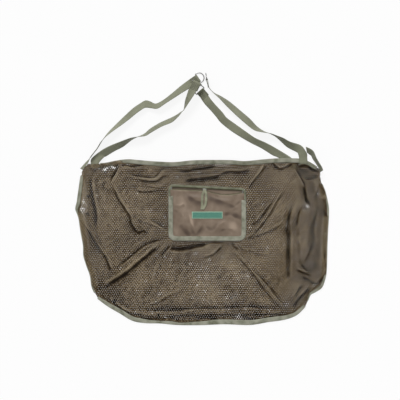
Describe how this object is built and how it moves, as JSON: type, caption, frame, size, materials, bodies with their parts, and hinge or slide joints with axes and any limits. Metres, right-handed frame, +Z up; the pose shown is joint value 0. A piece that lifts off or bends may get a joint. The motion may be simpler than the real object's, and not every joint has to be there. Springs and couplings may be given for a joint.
{
  "type": "weigh sling",
  "caption": "Net bag for weighing a fish, with a zipped stuff pocket, bound edges and webbing legs ending in wire D-rings",
  "frame": {"origin": "middle of the part's box in plan, on the floor it lies on", "axes": "+X along the mouth to the right, +Y from the bag's bottom to the rings, +Z up"},
  "size_m": [0.762, 0.76, 0.0357],
  "materials": {
    "net": "brown knitted polyester net",
    "binding_tape": "sage green grosgrain tape",
    "webbing": "olive polyester webbing",
    "ring_wire": "polished welded wire",
    "pocket_cloth": "brown coated taffeta with a soft sheen",
    "zip_tape": "woven zip tape",
    "zip_teeth": "dark moulded teeth",
    "zip_metal": "dull plated metal",
    "pull_ribbon": "pale olive ribbon",
    "label_weave": "teal woven label, left bare"
  },
  "bodies": {
    "bag": {"front_panel": "net", "back_panel": "net", "left_seam_binding": "binding_tape", "right_seam_binding": "binding_tape", "bottom_seam_binding": "binding_tape", "front_mouth_binding": "binding_tape", "back_mouth_binding": "binding_tape", "front_anchor_left": "webbing", "front_anchor_right": "webbing", "back_anchor_left": "webbing", "back_anchor_right": "webbing", "corner_tail": "webbing", "corner_arch": "webbing", "pocket_back": "pocket_cloth", "pocket_front": "pocket_cloth", "pocket_binding": "binding_tape", "pocket_top_binding": "binding_tape", "blank_label": "label_weave", "zip_tape_upper": "zip_tape", "zip_tape_lower": "zip_tape", "zip_teeth_upper": "zip_teeth", "zip_teeth_lower": "zip_teeth", "zip_stop_left": "zip_metal", "zip_stop_right": "zip_metal"},
    "front_straps": {"leg_lower_left": "webbing", "leg_upper_right": "webbing"},
    "back_straps": {"leg_upper_left": "webbing", "leg_lower_right": "webbing"},
    "ring_lower_left": {"ring_lower_left": "ring_wire"},
    "ring_upper_left": {"ring_upper_left": "ring_wire"},
    "ring_lower_right": {"ring_lower_right": "ring_wire"},
    "ring_upper_right": {"ring_upper_right": "ring_wire"},
    "slider": {"zip_slider": "zip_metal"},
    "pull": {"pull_ribbon": "pull_ribbon"}
  },
  "joints": [
    {"name": "front_straps_lift", "type": "hinge", "parent": "bag", "child": "front_straps", "pos_m": [0, 0.12351, 0.0107], "axis": [1, 0, 0], "range_deg": [0, 90]},
    {"name": "back_straps_lift", "type": "hinge", "parent": "bag", "child": "back_straps", "pos_m": [0, 0.12351, 0.0107], "axis": [1, 0, 0], "range_deg": [0, 90]},
    {"name": "ring_lower_left_swing", "type": "hinge", "parent": "front_straps", "child": "ring_lower_left", "pos_m": [-0.01578, 0.3467, 0.02795], "axis": [0.8944, -0.4473, 0], "range_deg": [0, 180]},
    {"name": "ring_upper_right_swing", "type": "hinge", "parent": "front_straps", "child": "ring_upper_right", "pos_m": [0.01349, 0.35664, 0.01695], "axis": [-0.012, 0, 0.9999], "range_deg": [-90, 15]},
    {"name": "ring_upper_left_swing", "type": "hinge", "parent": "back_straps", "child": "ring_upper_left", "pos_m": [-0.01288, 0.36102, 0.0035], "axis": [0.563, -0.8265, 0], "range_deg": [0, 110]},
    {"name": "ring_lower_right_swing", "type": "hinge", "parent": "back_straps", "child": "ring_lower_right", "pos_m": [-0.00533, 0.32266, 0.0035], "axis": [0.754, 0.6569, 0], "range_deg": [0, 110]},
    {"name": "zip_slide", "type": "slide", "parent": "bag", "child": "slider", "axis": [0.9987, -0.0516, 0], "range_m": [-0.09, 0.104]},
    {"name": "pull_swing", "type": "hinge", "parent": "slider", "child": "pull", "pos_m": [0.0073, 0.02684, 0.0229], "axis": [-0.9987, 0.0516, 0], "range_deg": [0, 170]}
  ],
  "couplings": [
    {"joint": "back_straps_lift", "follows": "front_straps_lift", "ratio": 1}
  ]
}
